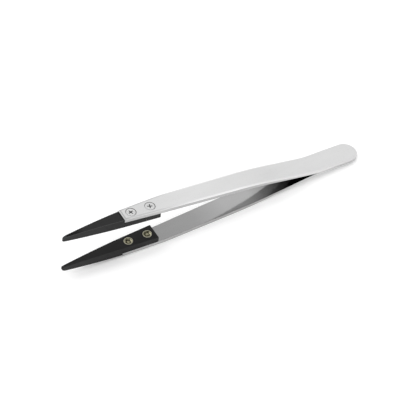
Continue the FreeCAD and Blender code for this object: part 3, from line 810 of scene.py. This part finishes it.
def seen_rays(tree):
    """1 for camera, glossy and transmission rays, which see the white background, or else 0."""
    path = node(tree, "ShaderNodeLightPath")
    seen = path.outputs["Is Camera Ray"]
    for kind in ("Is Glossy Ray", "Is Transmission Ray"):
        seen = combined(tree, "MAXIMUM", seen, path.outputs[kind])
    return seen


def add_world():
    world = bpy.data.worlds.new("studio")
    bpy.context.scene.world = world
    world.use_nodes = True
    tree = world.node_tree
    room = tree.nodes["Background"]
    room.inputs["Color"].default_value = WHITE
    direction = node(tree, "ShaderNodeTexCoord")
    parts = node(tree, "ShaderNodeSeparateXYZ")
    link(tree, direction, "Generated", parts, "Vector")
    height = combined(tree, "MAXIMUM", parts.outputs["Z"], 0.0)
    fade = combined(tree, "POWER", height, HORIZON_FADE)
    tree.links.new(combined(tree, "MULTIPLY", fade, OVERHEAD_LIGHT), room.inputs["Strength"])
    shown = node(tree, "ShaderNodeBackground", Color=WHITE, Strength=1.0)
    mix = node(tree, "ShaderNodeMixShader")
    tree.links.new(seen_rays(tree), mix.inputs[0])
    link(tree, room, 0, mix, 1)
    link(tree, shown, 0, mix, 2)
    link(tree, mix, 0, tree.nodes["World Output"], "Surface")


def add_floor():
    bpy.ops.mesh.primitive_plane_add(size=FLOOR_SIZE, location=(0, 0, 0))
    floor = bpy.context.object
    floor.name = "floor"
    colour = grey(FLOOR_GREY)
    material, tree, shader = new_material("floor_paper", colour, metallic=0.0, roughness=0.9)
    shader.inputs["Specular IOR Level"].default_value = 0.0
    shader.inputs["Emission Color"].default_value = WHITE
    glow = combined(tree, "MULTIPLY", seen_rays(tree), FLOOR_GLOW)
    tree.links.new(glow, shader.inputs["Emission Strength"])
    floor.data.materials.append(material)


# The steel's tone along the arm, as (station, grey) pairs, painted light and shade
# Outer face's drift is painted reflection, lighter or darker as it would catch more light
OUTER_LIGHT_TONES = [(12, 0.7), (32, 0.694), (41, 0.672), (52, 0.7), (66, 0.72), (78, 0.725), (105, 0.66)]
# Inner face painted dark as shade and the other arm's reflection, darkest towards the weld
INNER_SHADE_TONES = [
    (20, 0.13), (30, 0.155), (36, 0.208), (42, 0.315), (49, 0.44), (60, 0.43), (73, 0.33),
    (105, 0.27),
]
# Side faces painted as the floor's reflection and shade, lighter or darker along the arm
SIDE_LIGHT_TONES = [(10, 0.5), (20, 0.62), (30, 0.55), (42, 0.44), (84, 0.44), (92, 0.5), (105, 0.42)]
# Outer rims painted lighter as a highlight, brightest along the grip and dimmed at the nose
EDGE_HIGHLIGHT_TONES = [
    (12, 0.69), (27, 0.76), (40, 0.76), (48, 0.79), (57, 0.86), (75, 0.82), (84, 0.72),
    (92, 0.56), (103, 0.56), (105, 0.42),
]

# The ceramic's shine along the tip, as (station, level) pairs, painted sheen and shade
# The top's shine: lowered near the point as painted shade, raised at the point as painted sheen
OUTER_SHEEN_AND_SHADE = [(121.5, 0.26), (124.5, 0.08), (127.8, 0.08), (129.0, 0.35)]
# The pads: a darker, less shiny copy, as painted shade between the tips
PAD_SHADE_SHINE = [(TIP_END, 0.19)]
# The sides: a lighter, shinier copy, as painted light
SIDE_SHEEN = [(95.0, 0.25), (104.0, 0.19), (114.0, 0.23), (122.0, 0.27)]
# The top rims: a much lighter, shiny copy, as a painted highlight
EDGE_HIGHLIGHT_SHINE = [(TIP_END, 0.6)]

# Darkest and lightest colours of the cloudy metals
# Countersink and recess walls near black, as painted shade in the hollows
HOLE_SHADE_COLOURS = (grey(0.05), grey(0.11))
# Thread painted dark olive, as shade inside the insert and a reflection of its brass
THREAD_SHADE_REFLECTION_COLOURS = ((0.09, 0.083, 0.05), (0.36, 0.34, 0.24))
BRASS_COLOURS = ((0.34, 0.33, 0.25), (0.5, 0.48, 0.38))
# The insert's sink, a darker copy of the brass, as painted shade in the hollow
SINK_SHADE_COLOURS = ((0.07, 0.063, 0.03), (0.46, 0.44, 0.31))
HEAD_COLOURS = (grey(0.58), grey(0.72))


def dress():
    # The arms' steels and the tips' ceramics stand in the order of a slab's material slots
    # The arm's steels paint light: the outer face's reflection, inner shade, side shade, rim
    # highlight
    arm_steels = (
        steel_material("brushed_steel_painted_light", OUTER_LIGHT_TONES, smoothest=0.24, roughest=0.34),
        steel_material("shaded_inner_steel", INNER_SHADE_TONES, smoothest=0.07, roughest=0.11),
        steel_material("side_steel_painted_light", SIDE_LIGHT_TONES, smoothest=0.26, roughest=0.36),
        steel_material("edge_highlight_steel", EDGE_HIGHLIGHT_TONES, smoothest=0.24, roughest=0.34),
    )
    # Near-black walls for the countersinks and recesses: painted shade
    hole_shade_steel = cloudy_metal("hole_shade_steel", HOLE_SHADE_COLOURS, 2000.0, smoothest=0.4, roughest=0.5)
    # The thread's dark olive: painted shade and brass reflection
    thread_shade_reflection_steel = cloudy_metal("thread_shade_reflection_steel", THREAD_SHADE_REFLECTION_COLOURS, 1400.0, smoothest=0.4, roughest=0.5)
    # Lit and shaded copies of one ceramic: painted shade on the pads, light on the sides, rim
    # highlight
    ceramics = (
        ceramic_material("black_ceramic", 0.006, 0.01, OUTER_SHEEN_AND_SHADE),
        ceramic_material("shaded_pad_ceramic", 0.004, 0.008, PAD_SHADE_SHINE),
        ceramic_material("lit_side_ceramic", 0.0075, 0.0125, SIDE_SHEEN),
        ceramic_material("edge_highlight_ceramic", 0.02, 0.035, EDGE_HIGHLIGHT_SHINE),
    )
    brass = cloudy_metal("dull_brass", BRASS_COLOURS, 1400.0, smoothest=0.22, roughest=0.4)
    # The insert's sink: darker brass, painted shade
    sink_shade_brass = cloudy_metal("sink_shade_brass", SINK_SHADE_COLOURS, 900.0, smoothest=0.22, roughest=0.4)
    screw_steel = cloudy_metal("screw_steel", HEAD_COLOURS, 2500.0, smoothest=0.22, roughest=0.36)
    for half in ("lower", "upper"):
        arm = make_arm(half, arm_steels, hole_shade_steel)
        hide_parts(half + "_arm")
        if half == "upper":
            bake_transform(arm)
        else:
            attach(arm, "lower_half")
        tip = make_tip(half, ceramics)
        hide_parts(half + "_tip")
        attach(tip, half + "_half")
        for place in SCREW_STATIONS:
            screw = make_screw(half, place, screw_steel, thread_shade_reflection_steel, hole_shade_steel)
            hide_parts("%s_screw_%s" % (half, place))
            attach(screw, half + "_half")
            insert = make_insert(half, place, brass, sink_shade_brass)
            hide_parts("%s_insert_%s" % (half, place))
            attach(insert, half + "_half")


bpy.context.scene.view_settings.view_transform = "Standard"
add_camera()
add_world()
add_lamps()
add_floor()
dress()
